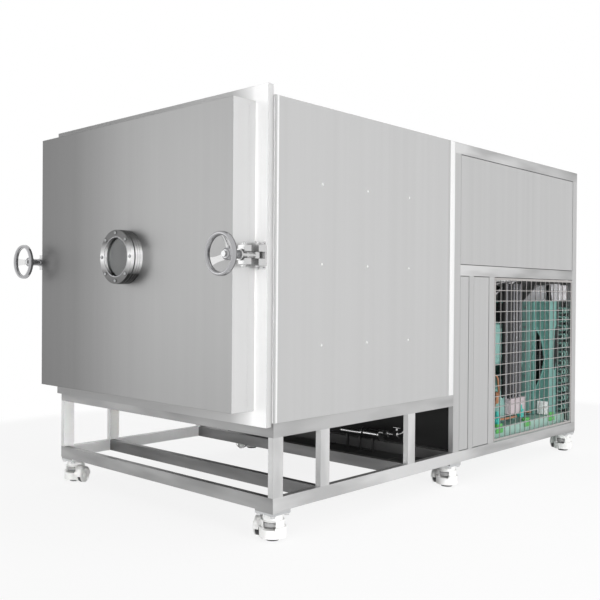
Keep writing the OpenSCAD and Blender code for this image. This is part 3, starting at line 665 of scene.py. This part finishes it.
bm = bmesh.new()
for side in (-1, 1):
    for y in (250, 521, 801):
        for z in (1282, 986, 686):
            lathe(bm, [(0, 1.25), (2.2, 1.15), (4.2, 0.7), (5.2, -0.4)],
                  at(side * HALF_W, y, z) @ along((side, 0, 0)), 18)
put("skin_dimples", bm, "machine", M["dimple"])

# The skin's rounded front edge and the corner profile below take the lighter steel: partly polish,
# partly a painted highlight.
bm = bmesh.new()
for side in (-1, 1):
    rows = []
    for z in (422.5, 1567.6):
        ring = [(side * 686.2, 0.3)]
        for k in range(9):
            a = math.radians(90 * k / 8)
            ring.append((side * (686.2 + 9.1 * math.sin(a)), 12.3 - 12 * math.cos(a)))
        ring.append((side * 695.3, 18))
        ring.append((side * 686.2, 18))
        rows.append([bm.verts.new((x, y, z)) for x, y in ring])
    loft(bm, rows)
put("skin_front_rim", bm, "machine", M["bright"], angle=50)

bm = bmesh.new()
for side in (-1, 1):
    x0, x1 = sorted((side * (HALF_W - 0.1), side * (HALF_W + 1.2)))
    block(bm, (x0, 1114, 423), (x1, 1152, 1567), 0.5)
put("corner_profile", bm, "machine", M["bright"])

# ---------------------------------------------------------------- casters

CASTERS = {"front_right": (1, 47, 205), "front_left": (-1, 47, 23),
           "middle_right": (1, 1180, 191), "middle_left": (-1, 1180, 280),
           "rear_right": (1, 2383, 183), "rear_left": (-1, 2383, 50)}
CASTER_X = 648
# Section of a wheel guard: place along the axle, and radius
GUARD = ((50.2, 36.3), (71.3, 36.3), (71.8, 36.8), (71.8, 38.8), (70.8, 39.8), (50.2, 39.8))
WHEEL_Y, WHEEL_Z = -26, 36
RIBS = 30
for name, (side, y, turn) in CASTERS.items():
    base = at(side * CASTER_X, y, 0) @ Matrix.Rotation(math.radians(turn), 4, "Z")
    bm = bmesh.new()
    ring = []
    for k, a in enumerate(turns(4 * RIBS)):
        r = 35.0 if k % 4 in (0, 1) else 32.6
        ring.append((r * math.cos(a), r * math.sin(a)))
    levels = [(50.0, 0.95), (51.5, 1.0), (64.5, 1.0), (66.0, 0.95)]
    rows = [[bm.verts.new(base @ Vector((x * f, y2 * f, z))) for x, y2 in ring] for z, f in levels]
    loft(bm, rows)
    o = put("ribbed_dial_" + name, bm, "dial_" + name, M["dial"], split=False)
    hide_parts("caster_dial_" + name)

    hub = base @ at(61.5, WHEEL_Y, WHEEL_Z) @ along((1, 0, 0))
    bm = bmesh.new()
    lathe(bm, [(27.3, -9.5), (30.5, -10.9), (32.2, -8.5), (32.9, -3), (32.9, 4.8), (27.3, 4.8)],
          hub, 56, closed=True)
    o = put("tyre_" + name, bm, "roller_" + name, M["black"])
    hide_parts("caster_wheel_" + name)
    bm = bmesh.new()
    lathe(bm,
          [(27.2, -8.8), (27.2, 5.0), (32.8, 5.0), (32.8, 9.2), (31.2, 10.7), (27, 10.8), (25, 8.2),
           (13, 7.6), (11.5, 10.4), (5.6, 10.6), (5.6, -10.4), (11.5, -9.8), (13, -4), (22, -4.5),
           (23.5, -8.2)], hub, 56, closed=True)
    put("wheel_hub_" + name, bm, "roller_" + name, M["nylon"])

    bm = bmesh.new()
    rows = []
    for k in range(33):
        a = math.radians(-4 + 188 * k / 32)
        c, e = math.cos(a), math.sin(a)
        rows.append([bm.verts.new(base @ Vector((x, WHEEL_Y + r * c, WHEEL_Z + r * e)))
                    for x, r in GUARD])
    loft(bm, rows)
    put("wheel_guard_" + name, bm, "caster_" + name, M["white"], angle=50)

    bm = bmesh.new()
    lathe(bm,
          [(0, 0.1), (24.5, 0.1), (26, 1.5), (26, 11), (24.5, 13.2), (14, 13.9), (8.0, 13.9),
           (8.0, 75.5), (0, 75.5)], base, 48)
    o = put("pad_and_stud_" + name, bm, "foot_" + name, M["pad"])
    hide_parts("caster_foot_" + name)

    bm = bmesh.new()
    for sx in (-35, 35):
        for sy in (-35, 35):
            p = at(side * CASTER_X, y, 0) @ Vector((sx, sy, 0))
            lathe(bm, [(5.3, 95.9), (11, 95.9), (11, 94.4), (5.3, 94.4)], at(p.x, p.y, 0), 20,
                  closed=True)
            lathe(bm, [(0, 86.6), (4.5, 86.9), (8, 88.4), (9.4, 91), (9.6, 94.4), (0, 94.4)],
                  at(p.x, p.y, 0), 20)
    put("plate_bolts_" + name, bm, "machine", M["bolt"])

# ---------------------------------------------------------------- condensing unit behind the grille

# Painted light and shade: the strut's middle takes the lighter copy of the green enamel, its left
# leg the darker one.
bm = bmesh.new()
block(bm, (520, 2128, 220), (566, 2166, 842), 1.5)
put("motor_strut", bm, "machine", M["green_lit"])
bm = bmesh.new()
block(bm, (566, 2134, 220), (588, 2166, 842), 1.0)
put("strut_right_leg", bm, "machine", M["green"])
bm = bmesh.new()
block(bm, (496, 2140, 220), (520, 2166, 842), 1.0)
put("strut_left_leg", bm, "machine", M["green_shaded"])

bm = bmesh.new()
for z in (300, 430, 575, 700, 810):
    cyl(bm, (543, 2128.5, z), (543, 2124, z), 6, sides=6)
put("strut_screws", bm, "machine", M["zinc"])

bm = bmesh.new()
block(bm, (593, 2171, 222), (655, 2173.5, 294), 0.6)
put("blank_plate", bm, "machine", M["label"])

bm = bmesh.new()
pipe(bm, [(598, 2286, 935), (602, 2286, 880), (652, 2270, 640), (640, 2262, 440), (584, 2240, 308)],
     12, corner=110, seg=14)
pipe(bm, [(352, 1880, 905), (352, 1880, 420), (392, 1800, 330)], 14, corner=60, seg=12)
pipe(bm, [(432, 2040, 915), (432, 2040, 470), (470, 2000, 380)], 10, corner=60, seg=12)
pipe(bm, [(500, 1950, 905), (300, 2040, 925), (120, 2060, 880), (60, 2050, 600)], 16, corner=120,
     seg=12)
put("insulated_lines", bm, "machine", M["hose"])

bm = bmesh.new()
for y in (1722, 1762, 1796, 1828, 1858):
    block(bm, (642, y, 330), (650, y + 9, 935), 1.2)
put("cable_trunking", bm, "machine", M["trunk_grey"])

bm = bmesh.new()
for y in (1708, 1738, 1750, 1778, 1812, 1844, 1876):
    pipe(bm, [(642, y, 935), (642, y, 370), (600, y + 16, 335)], 9.5, corner=25, seg=12)
put("hose_drops", bm, "machine", M["hose"])

bm = bmesh.new()
for k in range(12):
    z = 240 + k * 49
    for y in (2312, 2346, 2380):
        path = [(646, y, z), (671, y, z), (671, y, z + 26), (646, y, z + 26)]
        pipe(bm, path, 4.8, corner=12, seg=10)
put("coil_bends", bm, "machine", M["bends"])

bm = bmesh.new()
for k in range(150):
    z = 232 + k * 4.05
    block(bm, (3, 2289.2, z), (647, 2291, z + 0.6))
put("coil_fin_edges", bm, "machine", M["fins"])

bm = bmesh.new()
pipe(bm, [(600, 1604, 264), (652, 1622, 254), (658, 1700, 252), (658, 1820, 252), (610, 1850, 260)],
     6.5, corner=20)
pipe(bm, [(585, 1600, 470), (652, 1625, 480), (655, 1640, 380), (610, 1660, 300)], 5.5, corner=25)
pipe(bm, [(430, 1990, 240), (500, 2050, 240), (590, 2110, 236)], 5.5, corner=40)
put("copper_lines", bm, "machine", M["copper"])

bm = bmesh.new()
lathe(bm, [(0, 0), (9, 3), (12, 8), (12, 56), (9, 61), (0, 64)], at(640, 1640, 330), 24)
put("filter_drier", bm, "machine", M["copper"])

bm = bmesh.new()
for x, y, z in ((646, 1636, 250), (646, 1880, 262)):
    block(bm, (x - 14, y - 14, z - 22), (x + 14, y + 14, z + 22), 4)
    cyl(bm, (x, y, z + 20), (x, y, z + 44), 10, 8, seg=16)
    hexagon(bm, (x, y - 14, z), (x, y - 26, z), 20)
put("service_valves", bm, "machine", M["teal"])

bm = bmesh.new()
for y in (1642, 1936, 2215):
    block(bm, (655.4, y - 34, 186), (661, y + 34, 208), 2)
    block(bm, (640, y - 26, 216.4), (661, y + 26, 232), 3)
put("isolator_pads", bm, "machine", M["bright_green"])

bm = bmesh.new()
block(bm, (596, 1752, 266), (652, 1926, 338), 3)
block(bm, (594, 1750, 338), (654, 1928, 345), 1.5)
put("terminal_box", bm, "machine", M["box_pink"])

bm = bmesh.new()
block(bm, (470, 2372, 850), (662, 2412, 935), 2)
put("control_box", bm, "machine", M["box_grey"])

bm = bmesh.new()
front = [(441, 844), (521, 924), (599, 941), (664, 941), (664, 846)]
loft(bm, [[bm.verts.new((x, y, z)) for x, z in front] for y in (2290, 2294)])
put("duct_cover", bm, "machine", M["duct"])

bm = bmesh.new()
CONDUITS = [((600, 1690, 880), (560, 1950, 945)), ((590, 1700, 930), (540, 2010, 952)),
            ((610, 1720, 905), (600, 1880, 948))]
for (xa, ya, za), (xb, yb, zb) in CONDUITS:
    middle = ((xa + xb) / 2, (ya + yb) / 2, (za + zb) / 2 + 6)
    pipe(bm, [(xa, ya, za), middle, (xb, yb, zb)], 4.5, corner=60, seg=10)
put("light_conduits", bm, "machine", M["box_grey"])

# compressor: end bell, service ports, head covers with bolts, and a liquid receiver above it
CX, CY, CZ = 475.0, 1565.8, 381.2
bm = bmesh.new()
lathe(bm, [(0, 26), (60, 24), (100, 12), (118, 0), (118, -0.5)], at(CX, CY, CZ) @ FRONT, 48)
for a in turns(10):
    x, z = CX + 131 * math.cos(a + 0.2), CZ + 131 * math.sin(a + 0.2)
    cyl(bm, (x, CY + 1, z), (x, CY - 8, z), 6, sides=6)
for s in (-1, 1):
    m = at(CX, CY + 14.2, CZ) @ Matrix.Rotation(math.radians(s * 35), 4, "Y")
    block(bm, (-50, 222, 184.8), (50, 358, 203), 6, m)
    for sx in (-38, 38):
        for sy in (236, 290, 344):
            cyl(bm, m @ Vector((sx, sy, 202)), m @ Vector((sx, sy, 210)), 7, sides=6)
cyl(bm, (CX + 60, CY + 190, CZ + 90), (CX + 60, CY + 190, CZ + 250), 22, seg=28)
cyl(bm, (CX + 60, CY + 190, CZ + 250), (CX + 60, CY + 190, CZ + 268), 32, seg=28)
put("compressor_fittings", bm, "machine", M["green"])

# The receiver takes the lighter copy of the green enamel: painted light.
bm = bmesh.new()
lathe(bm, [(0, 0), (40, 4), (62, 16), (70, 36), (70, 190), (62, 214), (40, 228), (0, 232)],
      at(560, 1716, 512), 40)
lathe(bm, [(0, 0), (34, 4), (46, 16), (50, 34), (50, 150), (44, 166), (26, 176), (0, 180)],
      at(585, 1722, 232), 40)
for z in (560, 690):
    lathe(bm, [(70, 0), (73.5, 2), (73.5, 14), (70, 16)], at(560, 1716, z), 40)
put("receiver", bm, "machine", M["green_lit"])

# fan guard of wire rings and the motor's fins
FAN = at(325, 2170, 530) @ FRONT
bm = bmesh.new()
for r in range(60, 300, 24):
    torus(bm, r, 1.6, FAN @ at(0, 0, 4), 64, 6)
for k in range(8):
    a = math.pi * k / 4
    pipe(bm, [FAN @ Vector((50 * math.cos(a), 50 * math.sin(a), 2)),
              FAN @ Vector((302 * math.cos(a), 302 * math.sin(a), 2))], 2.5)
put("fan_guard", bm, "machine", M["black"])

bm = bmesh.new()
for a in turns(24):
    m = FAN @ Matrix.Rotation(a, 4, "Z")
    block(bm, (69, -1.2, 8), (78, 1.2, 100), 0, m)
lathe(bm, [(0, 122), (40, 120), (66, 110), (70.5, 104), (70.5, 100)], FAN, 36)
put("motor_fins", bm, "machine", M["black"])

# vacuum pump on the left
bm = bmesh.new()
block(bm, (-536, 1640, 480), (-324, 1900, 520), 8)
cyl(bm, (-430, 1700, 518), (-430, 1700, 640), 30, seg=28)
cyl(bm, (-430, 1700, 636), (-430, 1700, 648), 46, seg=28)
for a in turns(16):
    m = at(-430, 1930, 350) @ along((0, 1, 0)) @ Matrix.Rotation(a, 4, "Z")
    block(bm, (94, -1.5, 10), (103, 1.5, 240), 0, m)
put("pump_fittings", bm, "machine", M["pump"])

# ---------------------------------------------------------------- under the chamber

# A near-black sheet under the chamber: painted shade.
bm = bmesh.new()
block(bm, (-640, 30, 417), (640, 1120, 421.6), 1.0)
put("chamber_underside_shade_sheet", bm, "machine", M["underside_shade"])

# The drip tray takes a near-black steel: painted shade under the chamber.
bm = bmesh.new()
block(bm, (-669, 832, 112), (669, 1154, 114))
block(bm, (-669, 1181, 156), (669, 1196.5, 164))
for x in (-440, -220, 0, 220, 440):
    block(bm, (x - 2, 832, 114), (x + 2, 1154, 117), 0.8)
put("drip_tray", bm, "machine", M["tray"])

bm = bmesh.new()
cyl(bm, (-120, 700, 417), (-120, 700, 380), 52, seg=32)
cyl(bm, (-120, 700, 392), (-120, 700, 380), 68, seg=32)
pipe(bm, [(-120, 700, 382), (-120, 700, 330), (-120, 1120, 330), (-120, 1196, 330)], 24, corner=60,
     seg=20)
cyl(bm, (260, 640, 417), (260, 640, 372), 20, seg=24)
pipe(bm, [(260, 640, 380), (260, 640, 345), (420, 900, 345), (420, 1196, 345)], 11, corner=40,
     seg=14)
put("drain_and_vent", bm, "machine", M["polished"])

bm = bmesh.new()
cyl(bm, (90, 1100, 200), (226, 1100, 200), 17, seg=24)
cyl(bm, (226, 1100, 203), (330, 1100, 203), 24, seg=28)
for x in (222, 326):
    cyl(bm, (x, 1100, 203), (x + 8, 1100, 203), 30, seg=28)
pipe(bm, [(334, 1100, 214), (400, 1100, 214), (470, 1100, 226), (480, 1100, 300), (480, 1100, 417)],
     8, corner=30)
hexagon(bm, (352, 1100, 214), (376, 1100, 214), 30)
hexagon(bm, (410, 1100, 216), (436, 1100, 219), 34)
cyl(bm, (423, 1100, 218), (423, 1100, 246), 6, seg=16)
block(bm, (404, 1092, 246), (446, 1108, 252), 2)
put("drain_valves", bm, "machine", M["bolt"])

bm = bmesh.new()
for x in (232, 320):
    lathe(bm, [(24.2, 0), (26.5, 0), (26.5, 4), (24.2, 4)], at(x, 1100, 203) @ along((1, 0, 0)), 28,
          closed=True)
for x in (120, 200, 278):
    block(bm, (x, 1092, 114.2), (x + 6, 1108, 186), 0.8)
put("drain_supports", bm, "machine", M["dark_edge"])

# ---------------------------------------------------------------- stage, light and camera

def seen_ray(nt):
    """1 for camera, glossy and transmission rays, which see the white background."""
    path = nt.nodes.new("ShaderNodeLightPath")
    value = path.outputs["Is Camera Ray"]
    for name in ("Is Glossy Ray", "Is Transmission Ray"):
        m = nt.nodes.new("ShaderNodeMath")
        m.operation = "MAXIMUM"
        nt.links.new(value, m.inputs[0])
        nt.links.new(path.outputs[name], m.inputs[1])
        value = m.outputs[0]
    return value


FLOOR = 40
FLOOR_LIFT = 0.86    # share of white where a camera sees the floor; the rest keeps the shadow
floor_mesh = bpy.data.meshes.new("floor")
floor_mesh.from_pydata([(-FLOOR, -FLOOR, 0), (FLOOR, -FLOOR, 0), (FLOOR, FLOOR, 0),
                        (-FLOOR, FLOOR, 0)], [], [(0, 1, 2, 3)])
floor = bpy.data.objects.new("floor", floor_mesh)
scene.collection.objects.link(floor)
m, nt, bsdf = new_material("floor_paper")
nt.nodes.remove(bsdf)
out = nt.nodes["Material Output"]
diffuse = nt.nodes.new("ShaderNodeBsdfDiffuse")
diffuse.inputs["Color"].default_value = (0.93, 0.93, 0.93, 1)
glow = nt.nodes.new("ShaderNodeEmission")
glow.inputs["Color"].default_value = (1, 1, 1, 1)
glow.inputs["Strength"].default_value = 1.0
length = nt.nodes.new("ShaderNodeVectorMath")
length.operation = "LENGTH"
nt.links.new(coords(nt, (1, 0.75, 1)), length.inputs[0])
far = map_range(nt, length.outputs["Value"], 0.0, 1.0, 1.0, 2.6)
seen = seen_ray(nt)
lift = map_range(nt, seen, 0.0, FLOOR_LIFT)
most = nt.nodes.new("ShaderNodeMath")
most.operation = "MAXIMUM"
nt.links.new(far, most.inputs[0])
nt.links.new(lift, most.inputs[1])
blend = nt.nodes.new("ShaderNodeMixShader")
nt.links.new(most.outputs[0], blend.inputs[0])
nt.links.new(diffuse.outputs[0], blend.inputs[1])
nt.links.new(glow.outputs[0], blend.inputs[2])
nt.links.new(blend.outputs[0], out.inputs["Surface"])
floor.data.materials.append(m)

world = bpy.data.worlds.new("studio")
scene.world = world
world.use_nodes = True
nt = world.node_tree
nt.nodes.clear()
out = nt.nodes.new("ShaderNodeOutputWorld")
tc = nt.nodes.new("ShaderNodeTexCoord")
lean = nt.nodes.new("ShaderNodeVectorMath")
lean.operation = "DOT_PRODUCT"
lean.inputs[1].default_value = (0.50, 0.45, 0.25)
nt.links.new(tc.outputs["Generated"], lean.inputs[0])
lit = nt.nodes.new("ShaderNodeBackground")
nt.links.new(map_range(nt, lean.outputs["Value"], 0.05, 1.45, -0.45, 0.9), lit.inputs["Color"])
lit.inputs["Strength"].default_value = 0.8
white = nt.nodes.new("ShaderNodeBackground")
white.inputs["Color"].default_value = (1, 1, 1, 1)
pick = nt.nodes.new("ShaderNodeMixShader")
nt.links.new(seen_ray(nt), pick.inputs[0])
nt.links.new(lit.outputs[0], pick.inputs[1])
nt.links.new(white.outputs[0], pick.inputs[2])
nt.links.new(pick.outputs[0], out.inputs["Surface"])


def area_light(name, place, target, size, power, spread=180, mirrored=False):
    """A lamp aimed at a point. Only a mirrored one shows in reflections."""
    data = bpy.data.lights.new(name, "AREA")
    data.energy = power
    data.shape = "RECTANGLE"
    data.size, data.size_y = size
    data.spread = math.radians(spread)
    o = bpy.data.objects.new(name, data)
    o.location = place
    o.rotation_euler = (Vector(target) - Vector(place)).to_track_quat("-Z", "Y").to_euler()
    o.visible_glossy = mirrored
    scene.collection.objects.link(o)
    return o


area_light("key_right", (5.5, -1.4, 1.1), (0.6, 0.0, 0.7), (2.5, 1.9), 105)
area_light("front_strip", (-4.4, -5.3, 1.1), (0.1, -1.2, 1.0), (2.0, 4.5), 30, mirrored=True)
area_light("fill_side", (4.6, -1.6, 1.6), (0.65, 0.9, 0.6), (1.5, 1.5), 50)
area_light("front_right", (2.2, -5.0, 1.3), (0.66, -1.14, 1.0), (1.0, 1.0), 3.2, spread=40)
area_light("low_left", (1.4, -4.6, 0.35), (-0.72, -1.05, 0.06), (0.7, 0.3), 1.7, spread=26)
area_light("low_right", (-0.9, -4.4, 0.3), (0.62, -1.05, 0.03), (0.5, 0.2), 0.35, spread=15)

yaw, pitch, roll = math.radians(42.96), math.radians(-0.46), math.radians(-0.42)
forward = Vector((-math.sin(yaw) * math.cos(pitch), math.cos(yaw) * math.cos(pitch),
                  math.sin(pitch)))
right = Vector((math.cos(yaw), math.sin(yaw), 0))
up = right.cross(forward)
cam_x = right * math.cos(roll) - up * math.sin(roll)
cam_y = right * math.sin(roll) + up * math.cos(roll)
cam_data = bpy.data.cameras.new("camera")
cam_data.lens = 48.46
cam_data.sensor_width = 36
cam_data.clip_start = 0.05
cam_data.clip_end = 200
camera = bpy.data.objects.new("camera", cam_data)
camera.matrix_world = Matrix((
    (cam_x.x, cam_y.x, -forward.x, 2.674),
    (cam_x.y, cam_y.y, -forward.y, -1.994 - MIDDLE * 0.001),
    (cam_x.z, cam_y.z, -forward.z, 0.877),
    (0, 0, 0, 1)))
scene.collection.objects.link(camera)
scene.camera = camera
scene.view_settings.view_transform = "Standard"
